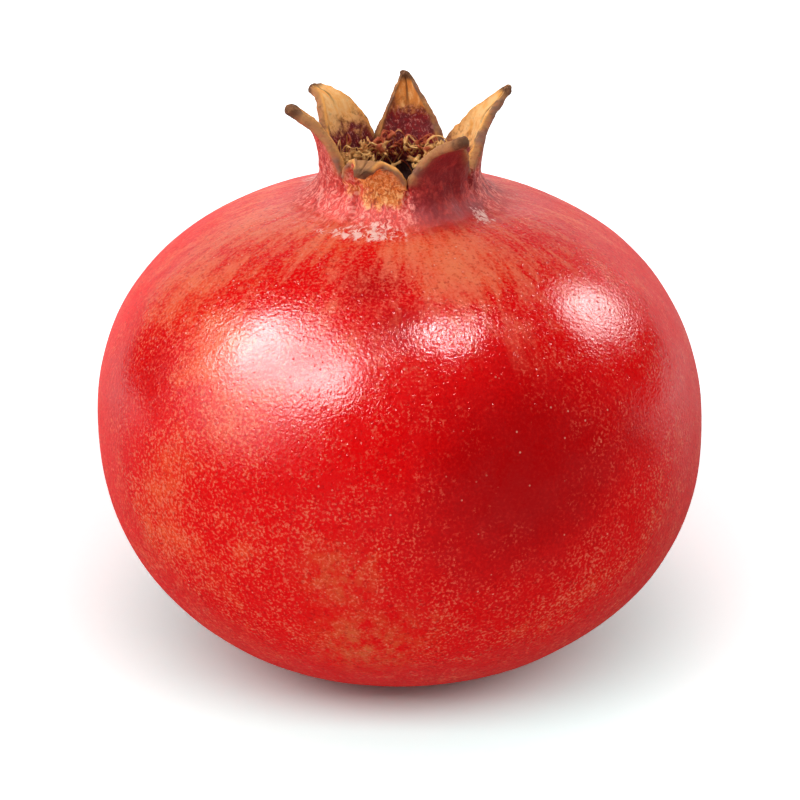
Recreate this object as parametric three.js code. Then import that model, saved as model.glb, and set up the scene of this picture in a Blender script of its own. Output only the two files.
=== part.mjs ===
// A whole pomegranate standing on its stalk end, with the dried calyx crown on top.
// Millimetres, +Z up. The origin lies on the resting surface, under the middle of the fruit.
//
// The rind, the calyx tube and its six lobes grew as one piece, so they are one closed solid, "fruit".
// The cut stalk under it, the dried style in the throat and each dried stamen are pieces of their own.
import * as THREE from "three";
import { mergeGeometries, mergeVertices } from "three/addons/utils/BufferGeometryUtils.js";

const { clamp, degToRad: radians, lerp, smoothstep: smooth } = THREE.MathUtils;

// ---- driving dimensions -------------------------------------------------------------------------

const GAP = 0.3; // clearance between pieces that touch on the real fruit

const BODY = {
  radius: 47.6, // at the equator
  equator: 38.4, // height of the equator over the resting face
  rise: 38.4, // from the equator to the top of the body, if it had no crown
  drop: 39.3, // from the equator to the bottom of the body, if it had no flat spot
  upperFullness: 2.28, // 2 is an ellipse, more is boxier
  lowerFullness: 2.1,
};

const BASE = {
  flatRadius: 11.2, // outer edge of the ring the fruit stands on
  mouthRadius: 6.2, // of the dimple round the stalk
  throatRadius: 4.6,
  roofRadius: 3.4,
  throatHeight: 1.0,
  roofHeight: 2.4,
};
const STALK = { radius: 2.5, recess: 0.5, bevel: 0.25 };

const LOBING = [
  // waves round the fruit: how many, how high as a share of the radius, and where one crests
  { waves: 1, height: 0.005, crest: 180 },
  { waves: 2, height: 0.004, crest: 90 },
  { waves: 3, height: 0.0055, crest: 0 },
  { waves: 9, height: 0.0025, crest: 282 },
];
const LEAN = 0.009; // sideways bulge of the shoulder to -X and of the lower half to +X

const NECK = {
  shoulder: 18, // radius where the body turns up into the crown
  waist: 12.3, // outer radius of the calyx tube
  rim: 80.3, // height at which the tube splits into lobes
  wall: 1.9, // thickness of the calyx tube at the rim
  pull: 3.2, // how far the shoulder runs on inwards before the neck turns up
  swell: 1.4, // how far over the shoulder the neck stands upright
  floor: 72.6, // height of the bottom of the throat
  floorRadius: 4.6,
  drop: 4, // how far down the throat's wall stays upright
};
const RIM_MIDDLE = NECK.waist - NECK.wall / 2;

// Calyx lobes, counter-clockwise from the slit at FIRST_SLIT. A column is 5 degrees of the tube.
// A midline starts at the rim, and its points are [outwards, upwards] from there. A lobe with a
// higher taper narrows earlier, sway moves its tip round the tube, and hook rolls its edges out.
const COLUMN = 5;
const FIRST_SLIT = 275;
const FRONT_RIGHT = {
  columns: 11,
  midline: [[0.4, 3.2], [2.3, 6.4], [6.1, 8.1]],
  taper: 1.45,
  sway: -0.3,
  hook: 0.5,
};
const RIGHT = {
  columns: 17,
  midline: [[0.6, 3.6], [2.1, 7.4], [5.6, 11.0]],
  taper: 1.45,
  sway: 0.4,
  hook: 0,
};
const BACK = {
  columns: 11,
  midline: [[0.3, 3.7], [0.9, 7.4], [1.6, 10.9]],
  taper: 1.45,
  sway: 0.9,
  hook: 0,
};
const BACK_LEFT = {
  columns: 12,
  midline: [[0.4, 3.9], [1.6, 7.0], [3.6, 8.9], [6.0, 9.1]],
  taper: 1.8,
  sway: 0,
  hook: 0.3,
};
const LEFT = {
  columns: 11,
  midline: [[0.6, 4.2], [2.2, 7.6], [5.8, 10.3]],
  taper: 1.45,
  sway: 0.2,
  hook: 0.2,
};
const FRONT_LEFT = {
  columns: 10,
  midline: [[0.6, 2.8], [1.9, 4.5], [3.6, 3.8]],
  taper: 1.45,
  sway: -0.4,
  hook: 0.6,
};
const LOBES = [FRONT_RIGHT, RIGHT, BACK, BACK_LEFT, LEFT, FRONT_LEFT];
const LOBE_TIP = 0.11; // half-width of a lobe's tip, as a share of its half-width at the rim
const LOBE_SLOPE = 0.4; // how much of a lobe's narrowing is even from rim to tip
const LOBE_THIN = 0.74; // thickness part way up a lobe, as a share of the tube's wall
const LOBE_FLATTEN = 0.5; // how much flatter across a lobe is at its tip than at the rim
const EDGE_ROUND = 0.3; // how far the cut edge of a lobe bulges, as a share of its thickness

// Tiers of dried stamens on the throat's wall: height of the root under the rim, where the anther
// hangs (distance from the axis, height over the rim), and the turn between root and anther.
const STAMEN_TIERS = [
  { count: 16, root: 1.6, reach: 7.9, lift: 1.8, turn: 17 },
  { count: 16, root: 3.0, reach: 6.6, lift: 0.5, turn: 13 },
  { count: 16, root: 4.4, reach: 5.4, lift: 0.0, turn: 17 },
];
const STAMEN = {
  filament: 0.2, // radius
  anther: 0.5, // radius
  antherShare: 0.3, // of the stamen's length
  droop: 0.3, // from the highest point down to the end of the anther
  scatter: 0.4, // of the anther's place
  rootScatter: 0.15,
  turnScatter: radians(1.7),
  seed: 62, // of the scatter
};
const STYLE = { radius: 0.35, stigma: 0.55, height: 2.4, lean: 1.9, heading: -32 };

// Steps of the mesh along and round each surface.
const STEPS = {
  underside: 10,
  shoulder: 11,
  neck: 7,
  throat: 7,
  lobe: 9,
  wall: 2,
  stalk: 24,
  style: 8,
  stamen: 9,
  stamenRound: 5,
};

const MATERIALS = {
  rind: { color: 0xc4161c, roughness: 0.34, metalness: 0 },
  stalk: { color: 0x7a5a3a, roughness: 0.85, metalness: 0 },
  stamen: { color: 0xc79a5c, roughness: 0.8, metalness: 0 },
  style: { color: 0x9a7442, roughness: 0.8, metalness: 0 },
};

// ---- helpers ------------------------------------------------------------------------------------

// Moves every vertex of a geometry to where place(point) puts it.
function warp(geometry, place) {
  const positions = geometry.getAttribute("position");
  const point = new THREE.Vector3();
  for (let i = 0; i < positions.count; i++) {
    point.fromBufferAttribute(positions, i);
    place(point);
    positions.setXYZ(i, point.x, point.y, point.z);
  }
  return geometry;
}

// Leaves only positions, so that vertices on a seam can be merged.
function bare(geometry) {
  geometry.deleteAttribute("normal");
  geometry.deleteAttribute("uv");
  return geometry;
}

// A closed solid turned about +Z, from a profile that starts and ends on the axis.
function turned(profile, segments, startAngle = 0) {
  const lathe = new THREE.LatheGeometry(profile, segments, startAngle + Math.PI / 2);
  return lathe.rotateX(Math.PI / 2);
}

// A repeatable scatter between -1 and 1 that differs for each pair of whole numbers.
function scatter(index, salt) {
  const wave = Math.sin(index * 12.9898 + salt * 78.233) * 43758.5453;
  return 2 * (wave - Math.floor(wave)) - 1;
}

// ---- fruit: body, neck and throat ---------------------------------------------------------------

// Heights of the plain body at a radius, over and under its equator: each half is a fuller ellipse.
function shoulderHeight(r) {
  const n = BODY.upperFullness;
  return BODY.equator + BODY.rise * (1 - (r / BODY.radius) ** n) ** (1 / n);
}

function undersideHeight(r) {
  const n = BODY.lowerFullness;
  return BODY.equator - BODY.drop * (1 - (r / BODY.radius) ** n) ** (1 / n);
}

// The outside in one line, from the stalk's dimple round the body and up the neck to the rim.
function outsideProfile() {
  const at = (r, z) => new THREE.Vector2(r, z);
  const points = [
    at(0, BASE.roofHeight),
    at(BASE.roofRadius, BASE.roofHeight),
    at(BASE.throatRadius, BASE.throatHeight),
    at(BASE.mouthRadius, 0),
    at(BASE.flatRadius, 0),
  ];
  const lowest = Math.acos(BASE.flatRadius / BODY.radius);
  for (let i = 1; i < STEPS.underside; i++) {
    const r = BODY.radius * Math.cos(lowest * (1 - i / STEPS.underside));
    points.push(at(r, undersideHeight(r)));
  }
  const highest = Math.acos(NECK.shoulder / BODY.radius);
  for (let i = 0; i < STEPS.shoulder; i++) {
    const r = BODY.radius * Math.cos((highest * i) / STEPS.shoulder);
    points.push(at(r, shoulderHeight(r)));
  }
  const turnUp = new THREE.CubicBezierCurve(
    at(NECK.shoulder, shoulderHeight(NECK.shoulder)),
    at(NECK.shoulder - NECK.pull, shoulderHeight(NECK.shoulder - NECK.pull)),
    at(NECK.waist, shoulderHeight(NECK.waist) + NECK.swell),
    at(NECK.waist, NECK.rim),
  );
  points.push(...turnUp.getSpacedPoints(STEPS.neck));
  return points;
}

// The throat, from the rim down its wall to the floor and in to the axis.
function throatProfile() {
  const inner = NECK.waist - NECK.wall;
  const wall = new THREE.CubicBezierCurve(
    new THREE.Vector2(inner, NECK.rim),
    new THREE.Vector2(inner, NECK.rim - NECK.drop),
    new THREE.Vector2(inner, NECK.floor),
    new THREE.Vector2(NECK.floorRadius, NECK.floor),
  );
  return [...wall.getSpacedPoints(STEPS.throat), new THREE.Vector2(0, NECK.floor)];
}

// The low waves and the lean of the body, which fade out at the resting face and at the neck.
function lobed(point) {
  const height = clamp(point.z / shoulderHeight(NECK.shoulder), 0, 1);
  const angle = Math.atan2(point.y, point.x);
  const body = Math.sin(Math.PI * height);
  let scale = 1 + LEAN * Math.cos(angle) * Math.sin(2 * Math.PI * height);
  for (const wave of LOBING) {
    scale += wave.height * body * Math.cos(wave.waves * (angle - radians(wave.crest)));
  }
  point.x *= scale;
  point.y *= scale;
}

// One lobe of the calyx: a box whose x runs round the tube, y through its wall and z up the lobe,
// open below, where it continues the tube. It spans its columns of the rim and narrows to a tip.
function calyxLobe(lobe, slitAngle) {
  const box = new THREE.BoxGeometry(1, 1, 1, lobe.columns, STEPS.wall, STEPS.lobe);
  const openBelow = box.groups[box.groups.length - 1].start;
  box.setIndex(Array.from(box.index.array.slice(0, openBelow)));

  const half = radians((lobe.columns * COLUMN) / 2);
  const middle = radians(slitAngle) + half;
  const halfWidth = RIM_MIDDLE * Math.sin(half);
  const path = new THREE.SplineCurve([
    new THREE.Vector2(RIM_MIDDLE, NECK.rim - 1),
    new THREE.Vector2(RIM_MIDDLE, NECK.rim),
    ...lobe.midline.map(([out, up]) => new THREE.Vector2(RIM_MIDDLE + out, NECK.rim + up)),
  ]);
  const start = 1 / (lobe.midline.length + 1); // the rim's place on the path

  return warp(box, (point) => {
    const side = 2 * point.x;
    const depth = point.y; // -0.5 outside, 0.5 inside
    const up = point.z + 0.5;
    const share = lerp(start, 1, up);
    const centre = path.getPoint(share);
    const heading = up === 0 ? new THREE.Vector2(0, 1) : path.getTangent(share);

    const bulge = Math.cos((up * Math.PI) / 2) ** lobe.taper;
    const narrowing = lerp(LOBE_TIP, 1, lerp(bulge, 1 - up, LOBE_SLOPE));
    const curl = up === 0 ? RIM_MIDDLE : RIM_MIDDLE * (1 + LOBE_FLATTEN * up);
    const spread = Math.asin((halfWidth * narrowing) / curl);
    const thickness = NECK.wall * lerp(1, LOBE_THIN, smooth(up, 0, 0.45));
    const radius = curl - depth * thickness;
    const rounding = EDGE_ROUND * thickness * (1 - 4 * depth * depth) * smooth(up, 0, 0.2);
    const edge = Math.abs(side) === 1 ? Math.sign(side) * rounding : 0;
    const cap = up === 1 ? rounding * 2 : 0;

    const sideways = radius * Math.sin(spread * side) + edge + lobe.sway * up * up;
    const inwards = curl - radius * Math.cos(spread * side);
    const hooked = lobe.hook * side * side * up * (1 - up) * 4; // rolls the edges outwards
    const outwards = centre.x + (hooked - inwards) * heading.y + cap * heading.x;
    const height = centre.y - (hooked - inwards) * heading.x + cap * heading.y;
    point.set(
      outwards * Math.cos(middle) - sideways * Math.sin(middle),
      outwards * Math.sin(middle) + sideways * Math.cos(middle),
      height,
    );
  });
}

function fruitGeometry() {
  const columns = 360 / COLUMN;
  const start = radians(FIRST_SLIT);
  const patches = [
    warp(turned(outsideProfile(), columns, start), lobed),
    turned(throatProfile(), columns, start),
  ];
  let slitAngle = FIRST_SLIT;
  for (const lobe of LOBES) {
    patches.push(calyxLobe(lobe, slitAngle));
    slitAngle += lobe.columns * COLUMN;
  }
  return mergeVertices(mergeGeometries(patches.map(bare)), 1e-3);
}

// ---- stalk, style and stamens -------------------------------------------------------------------

// The short woody end of the stalk, from its cut face up, which sits recessed in the dimple so that
// the fruit rests on its skin.
function stalkGeometry() {
  const length = BASE.roofHeight - GAP - STALK.recess;
  return turned(
    [
      new THREE.Vector2(0, 0),
      new THREE.Vector2(STALK.radius - STALK.bevel, 0),
      new THREE.Vector2(STALK.radius, STALK.bevel),
      new THREE.Vector2(STALK.radius, length),
      new THREE.Vector2(0, length),
    ],
    STEPS.stalk,
  );
}

// A closed round rod along a path, with its radius given by thickness(share of the length).
function rod(path, thickness, steps, sides) {
  const profile = [new THREE.Vector2(0, 0)];
  for (let i = 0; i <= steps; i++) profile.push(new THREE.Vector2(thickness(i / steps), i / steps));
  profile.push(new THREE.Vector2(0, 1));
  const frames = path.computeFrenetFrames(steps);
  return warp(turned(profile, sides), (point) => {
    const step = Math.round(point.z * steps);
    const centre = path.getPointAt(step / steps);
    const offset = frames.normals[step].clone().multiplyScalar(point.x);
    offset.addScaledVector(frames.binormals[step], point.y);
    point.copy(centre).add(offset);
  });
}

// Radius of the throat's wall at a height over the rim.
function throatRadius(height) {
  const z = NECK.rim + height;
  const profile = throatProfile();
  const below = profile.findIndex((point) => point.y <= z);
  const [upper, lower] = [profile[below - 1], profile[below]];
  return lerp(lower.x, upper.x, (z - lower.y) / (upper.y - lower.y));
}

// One dried stamen: a thin filament from the throat's wall that swells into a shrivelled anther.
// Its root is at angle 0 round the rim's centre, and jitter(number) scatters its shape.
function stamenGeometry(tier, jitter) {
  const rootHeight = STAMEN.rootScatter * jitter(1) - tier.root;
  const rootRadius = throatRadius(rootHeight) - GAP - STAMEN.filament;
  const endHeight = STAMEN.scatter * jitter(2) + tier.lift;
  const endRadius = STAMEN.scatter * jitter(3) + tier.reach;
  const partWay = (inwards, round, height) => {
    const radius = lerp(rootRadius, endRadius, inwards);
    const turn = radians(tier.turn) * round;
    return new THREE.Vector3(radius * Math.cos(turn), radius * Math.sin(turn), height);
  };
  const top = endHeight + STAMEN.droop;
  const path = new THREE.CatmullRomCurve3([
    partWay(0, 0, rootHeight),
    partWay(0.35, 0.3, (rootHeight + top) / 2),
    partWay(0.7, 0.65, top),
    partWay(1, 1, endHeight),
  ]);
  const thickness = (share) => {
    const along = (share - 1 + STAMEN.antherShare) / STAMEN.antherShare;
    const swell = along > 0 ? Math.sin(0.8 * Math.PI * along) : 0;
    return Math.max(STAMEN.filament, STAMEN.anther * swell);
  };
  return rod(path, thickness, STEPS.stamen, STEPS.stamenRound);
}

// The dried style, from its foot: a short stub that bends over, with a knob at its end.
function styleGeometry() {
  const path = new THREE.CatmullRomCurve3([
    new THREE.Vector3(0, 0, 0),
    new THREE.Vector3(STYLE.lean * 0.1, 0, STYLE.height * 0.5),
    new THREE.Vector3(STYLE.lean * 0.5, 0, STYLE.height * 0.85),
    new THREE.Vector3(STYLE.lean, 0, STYLE.height),
  ]);
  const thickness = (share) => lerp(STYLE.radius, STYLE.stigma, smooth(share, 0.7, 0.95));
  return rod(path, thickness, STEPS.style, STEPS.style);
}

// ---- assembly -----------------------------------------------------------------------------------

const materials = Object.fromEntries(
  Object.entries(MATERIALS).map(([name, look]) => [name, new THREE.MeshStandardMaterial(look)]),
);

function piece(name, geometry, material) {
  const mesh = new THREE.Mesh(geometry, material);
  mesh.name = name;
  return mesh;
}

const pomegranate = new THREE.Group();
pomegranate.add(piece("fruit", fruitGeometry(), materials.rind));

const stalk = piece("stalk_end", stalkGeometry(), materials.stalk);
stalk.position.z = STALK.recess;
pomegranate.add(stalk);

const style = piece("style", styleGeometry(), materials.style);
style.position.z = NECK.floor + GAP;
style.rotation.z = radians(STYLE.heading);
pomegranate.add(style);

// The stamens stand round the rim's centre, each tier turned by half a step from the last.
const crown = new THREE.Group();
crown.position.z = NECK.rim;
STAMEN_TIERS.forEach((tier, salt) => {
  for (let index = 0; index < tier.count; index++) {
    const jitter = (kind) => scatter(index + 1, STAMEN.seed + salt * 7 + kind);
    const name = "stamen_" + String(crown.children.length + 1).padStart(2, "0");
    const stamen = piece(name, stamenGeometry(tier, jitter), materials.stamen);
    const step = (2 * Math.PI) / tier.count;
    stamen.rotation.z = (index + salt / 2) * step + STAMEN.turnScatter * jitter(0);
    crown.add(stamen);
  }
});
pomegranate.add(crown);

export default pomegranate;
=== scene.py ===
"""A whole pomegranate with its dried crown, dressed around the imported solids.

Meshes are shaped in millimetres, +Z up, with the origin on the resting surface under the middle of
the fruit, and are scaled to metres when they are written.
"""

import logging
import math
import random
from collections.abc import Callable, Sequence
from dataclasses import dataclass, field
from enum import Enum
from typing import Any

import bmesh
import bpy
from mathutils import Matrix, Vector, noise


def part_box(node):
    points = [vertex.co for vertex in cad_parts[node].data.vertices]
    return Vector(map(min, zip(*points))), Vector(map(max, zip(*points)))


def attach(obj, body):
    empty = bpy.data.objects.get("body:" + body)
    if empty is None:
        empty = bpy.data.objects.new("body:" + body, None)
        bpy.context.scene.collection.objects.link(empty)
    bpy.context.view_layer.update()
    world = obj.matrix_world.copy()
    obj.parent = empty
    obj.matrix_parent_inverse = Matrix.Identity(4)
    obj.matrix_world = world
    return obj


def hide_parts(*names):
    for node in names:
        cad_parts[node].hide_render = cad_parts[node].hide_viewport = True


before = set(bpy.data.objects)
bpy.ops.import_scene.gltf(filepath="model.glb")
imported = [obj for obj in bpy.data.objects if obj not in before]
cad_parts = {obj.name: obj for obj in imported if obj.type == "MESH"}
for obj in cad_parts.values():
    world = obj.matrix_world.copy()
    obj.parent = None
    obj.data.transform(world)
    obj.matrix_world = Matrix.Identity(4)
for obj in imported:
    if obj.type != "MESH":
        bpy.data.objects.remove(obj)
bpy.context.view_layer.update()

LOG = logging.getLogger("pomegranate")
MM = 0.001
WELD = 0.004  # points closer than this are one, in millimetres

Colour = tuple[float, float, float]


# ---- numbers and curves ---------------------------------------------------------------------------


def blend(low: float, high: float, share: float) -> float:
    """Goes evenly from low to high as share goes from 0 to 1."""
    return low + (high - low) * share


def smooth(value: float, low: float, high: float) -> float:
    """Rises softly from 0 at low to 1 at high."""
    share = min(max((value - low) / (high - low), 0.0), 1.0)
    return share * share * (3 - 2 * share)


def hump(distance: float, width: float) -> float:
    """A bell that is 1 at no distance and fades out over about twice the width."""
    return math.exp(-((distance / width) ** 2))


def turn_between(angle: float, other: float) -> float:
    """The smallest turn between two angles in degrees, never negative."""
    return abs((angle - other + 180) % 360 - 180)


def along_spline(points: Sequence[Vector], share: float) -> Vector:
    """A point on a smooth curve through the given points.

    Args:
        points: the points that the curve passes, in order.
        share: where on the curve, from 0 to 1.

    Returns:
        The point, with as many coordinates as the given ones.
    """
    last = len(points) - 1
    place = min(max(share, 0.0), 1.0) * last
    index = min(int(place), last - 1)
    part = place - index
    before, start = points[max(index - 1, 0)], points[index]
    end, after = points[index + 1], points[min(index + 2, last)]
    leave, arrive = (end - before) * 0.5, (after - start) * 0.5
    cubic = (start - end) * 2 + leave + arrive
    square = (end - start) * 3 - leave * 2 - arrive
    return cubic * part**3 + square * part**2 + leave * part + start


def heading_on(points: Sequence[Vector], share: float) -> Vector:
    """The direction of travel on the same curve, one unit long."""
    step = 1e-3
    return (along_spline(points, share + step) - along_spline(points, share - step)).normalized()


def bezier(corners: Sequence[Vector], share: float) -> Vector:
    """A point on a cubic Bezier curve.

    Args:
        corners: the four control points, flat ones.
        share: where on the curve, from 0 to 1.

    Returns:
        The point.
    """
    rest = 1 - share
    weights = (rest**3, 3 * rest**2 * share, 3 * rest * share**2, share**3)
    return sum((corner * weight for corner, weight in zip(corners, weights)), Vector((0, 0)))


def heading_from_axis(point: Vector) -> Vector:
    """The level direction from the axis to a point, one unit long."""
    angle = math.atan2(point.y, point.x)
    return Vector((math.cos(angle), math.sin(angle), 0))


def degrees_round(point: Vector) -> float:
    """The angle of a point round the axis, from 0 to 360 degrees."""
    return math.degrees(math.atan2(point.y, point.x)) % 360


def towards(angle: float, height: float) -> Vector:
    """The direction at an angle round the fruit and a height over the horizon, both in degrees."""
    turn, lift = math.radians(angle), math.radians(height)
    return Vector((math.cos(turn) * math.cos(lift), math.sin(turn) * math.cos(lift), math.sin(lift)))


# ---- meshes ---------------------------------------------------------------------------------------


def add_sheet(
    mesh: bmesh.types.BMesh,
    columns: int,
    rows: int,
    place: Callable[[int, int], Vector],
    mark: Callable[[bmesh.types.BMVert, int, int], None] | None = None,
) -> None:
    """Adds a grid and moves each of its points to its place.

    Args:
        mesh: the mesh that it joins.
        columns: how many faces wide it is.
        rows: how many faces long it is.
        place: gives the place of a point from its column and row.
        mark: writes a point's attributes, if there are any.
    """
    grid = bmesh.ops.create_grid(mesh, x_segments=columns, y_segments=rows, size=0.5)
    for vert in grid["verts"]:
        column = round((vert.co.x + 0.5) * columns)
        row = round((vert.co.y + 0.5) * rows)
        vert.co = place(column, row)
        if mark:
            mark(vert, column, row)


def add_turned(mesh: bmesh.types.BMesh, profile: Sequence[Vector], steps: int, start: float) -> list:
    """Turns a profile of (radius, height) points once round +Z.

    Args:
        mesh: the mesh that it joins.
        profile: the points of the profile.
        steps: how many faces go round.
        start: the angle of the seam, in radians.

    Returns:
        The new points.
    """
    known = set(mesh.verts)
    side = Vector((math.cos(start), math.sin(start), 0))
    chain = [mesh.verts.new(side * point.x + Vector((0, 0, point.y))) for point in profile]
    edges = [mesh.edges.new(pair) for pair in zip(chain, chain[1:])]
    bmesh.ops.spin(
        mesh, geom=chain + edges, cent=(0, 0, 0), axis=(0, 0, 1), dvec=(0, 0, 0),
        angle=math.tau, steps=steps, use_merge=True, use_duplicate=False,
    )
    return [vert for vert in mesh.verts if vert not in known]


def add_tube(
    mesh: bmesh.types.BMesh,
    path: Sequence[Vector],
    rows: int,
    sides: int,
    section: Callable[[float], tuple[float, float, float]],
    mark: Callable[[bmesh.types.BMVert, float], None] | None = None,
) -> None:
    """Adds a closed rod along a curve.

    Args:
        mesh: the mesh that it joins.
        path: the points that its middle passes.
        rows: how many faces long it is.
        sides: how many faces go round it.
        section: gives its width, its thickness and its twist in radians at a share of its length.
        mark: writes a point's attributes from its share of the length, if there are any.
    """
    side = (path[-1] - path[0]).orthogonal().normalized()
    frames = []
    for row in range(rows + 1):
        ahead = heading_on(path, row / rows)
        side = (side - ahead * side.dot(ahead)).normalized()
        frames.append((along_spline(path, row / rows), side.copy(), ahead.cross(side)))

    def place(column: int, row: int) -> Vector:
        """The place of a point on the rod.

        Args:
            column: counts round the rod.
            row: counts along it.

        Returns:
            The place.
        """
        centre, across, up = frames[row]
        width, thickness, twist = section(row / rows)
        angle = math.tau * (column % sides) / sides
        flat, tall = width * math.cos(angle), thickness * math.sin(angle)
        turned_flat = flat * math.cos(twist) - tall * math.sin(twist)
        turned_tall = flat * math.sin(twist) + tall * math.cos(twist)
        return centre + across * turned_flat + up * turned_tall

    add_sheet(mesh, sides, rows, place, mark and (lambda vert, _, row: mark(vert, row / rows)))


def finish_mesh(mesh: bmesh.types.BMesh, name: str) -> bpy.types.Object:
    """Closes the seams, turns the faces outwards and writes the piece in metres.

    Args:
        mesh: the mesh in millimetres, which is freed.
        name: the piece's name.

    Returns:
        The new piece.
    """
    bmesh.ops.remove_doubles(mesh, verts=mesh.verts, dist=WELD)
    bmesh.ops.recalc_face_normals(mesh, faces=mesh.faces)
    bmesh.ops.scale(mesh, vec=(MM, MM, MM), verts=mesh.verts)
    for face in mesh.faces:
        face.smooth = True
    data = bpy.data.meshes.new(name)
    mesh.to_mesh(data)
    mesh.free()
    piece = bpy.data.objects.new(name, data)
    bpy.context.scene.collection.objects.link(piece)
    return piece


# ---- shader nodes ---------------------------------------------------------------------------------


class Value:
    """An output socket that adds Math nodes when it is used in an expression."""

    def __init__(self, graph: "Graph", socket: bpy.types.NodeSocket) -> None:
        """Keeps the socket and the graph it belongs to."""
        self.graph = graph
        self.socket = socket

    def _math(self, operation: str, left: Any, right: Any = None) -> "Value":
        """Adds one Math node on two numbers or sockets."""
        inputs = {0: left} if right is None else {0: left, 1: right}
        return self.graph.add("Math", {"operation": operation}, inputs)

    def __add__(self, other: Any) -> "Value":
        """self + other."""
        return self._math("ADD", self, other)

    def __radd__(self, other: Any) -> "Value":
        """other + self."""
        return self._math("ADD", other, self)

    def __sub__(self, other: Any) -> "Value":
        """self - other."""
        return self._math("SUBTRACT", self, other)

    def __rsub__(self, other: Any) -> "Value":
        """other - self."""
        return self._math("SUBTRACT", other, self)

    def __mul__(self, other: Any) -> "Value":
        """self * other."""
        return self._math("MULTIPLY", self, other)

    def __rmul__(self, other: Any) -> "Value":
        """other * self."""
        return self._math("MULTIPLY", other, self)

    def __pow__(self, other: Any) -> "Value":
        """self to the power of other."""
        return self._math("POWER", self, other)


class Graph:
    """Builds the nodes of one material or world."""

    def __init__(self, tree: bpy.types.NodeTree) -> None:
        """Starts from an empty tree."""
        self.tree = tree
        tree.nodes.clear()

    def add(
        self,
        kind: str,
        settings: dict[str, Any] | None = None,
        inputs: dict[str | int, Any] | None = None,
        output: str | int = 0,
    ) -> Value:
        """Adds a node of any kind.

        Args:
            kind: the node's type, without ShaderNode in front.
            settings: its own settings, set first.
            inputs: numbers, colours or links for its sockets, by number, identifier or name.
            output: the socket that is handed back.

        Returns:
            The chosen output.
        """
        node = self.tree.nodes.new(f"ShaderNode{kind}")
        for name, value in (settings or {}).items():
            setattr(node, name, value)
        for key, value in (inputs or {}).items():
            socket = self._find(node.inputs, key)
            if isinstance(value, Value):
                self.tree.links.new(value.socket, socket)
            elif isinstance(value, tuple) and len(value) == 3 and socket.type == "RGBA":
                socket.default_value = (*value, 1.0)
            else:
                socket.default_value = value
        return Value(self, self._find(node.outputs, output)) if node.outputs else Value(self, None)

    @staticmethod
    def _find(sockets: Any, key: str | int) -> bpy.types.NodeSocket:
        """Finds a socket.

        Args:
            sockets: the node's inputs or outputs.
            key: the socket's number, identifier or name.

        Returns:
            The socket.
        """
        if isinstance(key, int):
            return sockets[key]
        for socket in sockets:
            if socket.identifier == key:
                return socket
        return sockets[key]

    def several(
        self,
        kind: str,
        settings: dict[str, Any] | None,
        inputs: dict[str | int, Any] | None,
        outputs: Sequence[str | int],
    ) -> tuple[Value, ...]:
        """Adds a node of any kind, as add does, and hands back several of its outputs."""
        node = self.add(kind, settings, inputs, outputs[0]).socket.node
        return tuple(Value(self, self._find(node.outputs, output)) for output in outputs)

    def place_mm(self) -> Value:
        """The point on the piece, in millimetres."""
        place = self.add("TexCoord", output="Object")
        return self.vector("MULTIPLY", place, (1 / MM, 1 / MM, 1 / MM))

    def vector(self, operation: str, left: Any, right: Any) -> Value:
        """Adds one Vector Math node on two vectors."""
        return self.add("VectorMath", {"operation": operation}, {0: left, 1: right})

    def dot(self, left: Any, right: Any) -> Value:
        """The dot product of two vectors."""
        return self.add("VectorMath", {"operation": "DOT_PRODUCT"}, {0: left, 1: right}, "Value")

    def size(self, value: Value) -> Value:
        """A number without its sign."""
        return self.add("Math", {"operation": "ABSOLUTE"}, {0: value})

    def larger(self, left: Value, right: Value) -> Value:
        """The larger of two numbers."""
        return self.add("Math", {"operation": "MAXIMUM"}, {0: left, 1: right})

    def length(self, vector: Value) -> Value:
        """How long a vector is."""
        return self.add("VectorMath", {"operation": "LENGTH"}, {0: vector}, "Value")

    def axes(self, vector: Value) -> tuple[Value, Value, Value]:
        """Splits a vector into its three numbers."""
        return self.several("SeparateXYZ", None, {0: vector}, (0, 1, 2))

    def joined(self, x: Any, y: Any, z: Any) -> Value:
        """Makes a vector of three numbers."""
        return self.add("CombineXYZ", None, {0: x, 1: y, 2: z})

    def noise(self, place: Value, size: float, detail: float = 2, rough: float = 0.5) -> Value:
        """Cloudy noise about 0.5, with features of about size."""
        inputs = {"Vector": place, "Scale": 1 / size, "Detail": detail, "Roughness": rough}
        return self.add("TexNoise", None, inputs)

    def cells(self, place: Value, size: float) -> Value:
        """How far a point is from the nearest middle of scattered cells, as a share of size."""
        inputs = {"Vector": place, "Scale": 1 / size, "Randomness": 1.0}
        return self.add("TexVoronoi", {"feature": "F1"}, inputs, "Distance")

    def rise(self, value: Value, low: float, high: float, start: float = 0, end: float = 1) -> Value:
        """Goes softly from start to end as value goes from low to high."""
        inputs = {"Value": value, "From Min": low, "From Max": high, "To Min": start, "To Max": end}
        return self.add("MapRange", {"interpolation_type": "SMOOTHSTEP"}, inputs)

    def mix(self, under: Any, over: Any, mask: Any) -> Value:
        """Lays one colour over another by a mask."""
        inputs = {"Factor_Float": mask, "A_Color": under, "B_Color": over}
        return self.add("Mix", {"data_type": "RGBA"}, inputs, "Result_Color")

    def bump(self, height: Value, distance: float, under: Value | None = None) -> Value:
        """A normal that follows a height of 0 to 1, with distance in millimetres."""
        inputs = {"Height": height, "Strength": 1.0, "Distance": distance * MM}
        return self.add("Bump", None, inputs | ({"Normal": under} if under else {}))

    def surface(self, inputs: dict[str, Any]) -> None:
        """Adds the shader and the output."""
        shader = self.add("BsdfPrincipled", None, inputs)
        self.add("OutputMaterial", None, {"Surface": shader})


def swing(pattern: Value, amount: Any) -> Value:
    """Turns a noise about 0.5 into one about 0, times an amount."""
    return (pattern - 0.5) * amount


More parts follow.
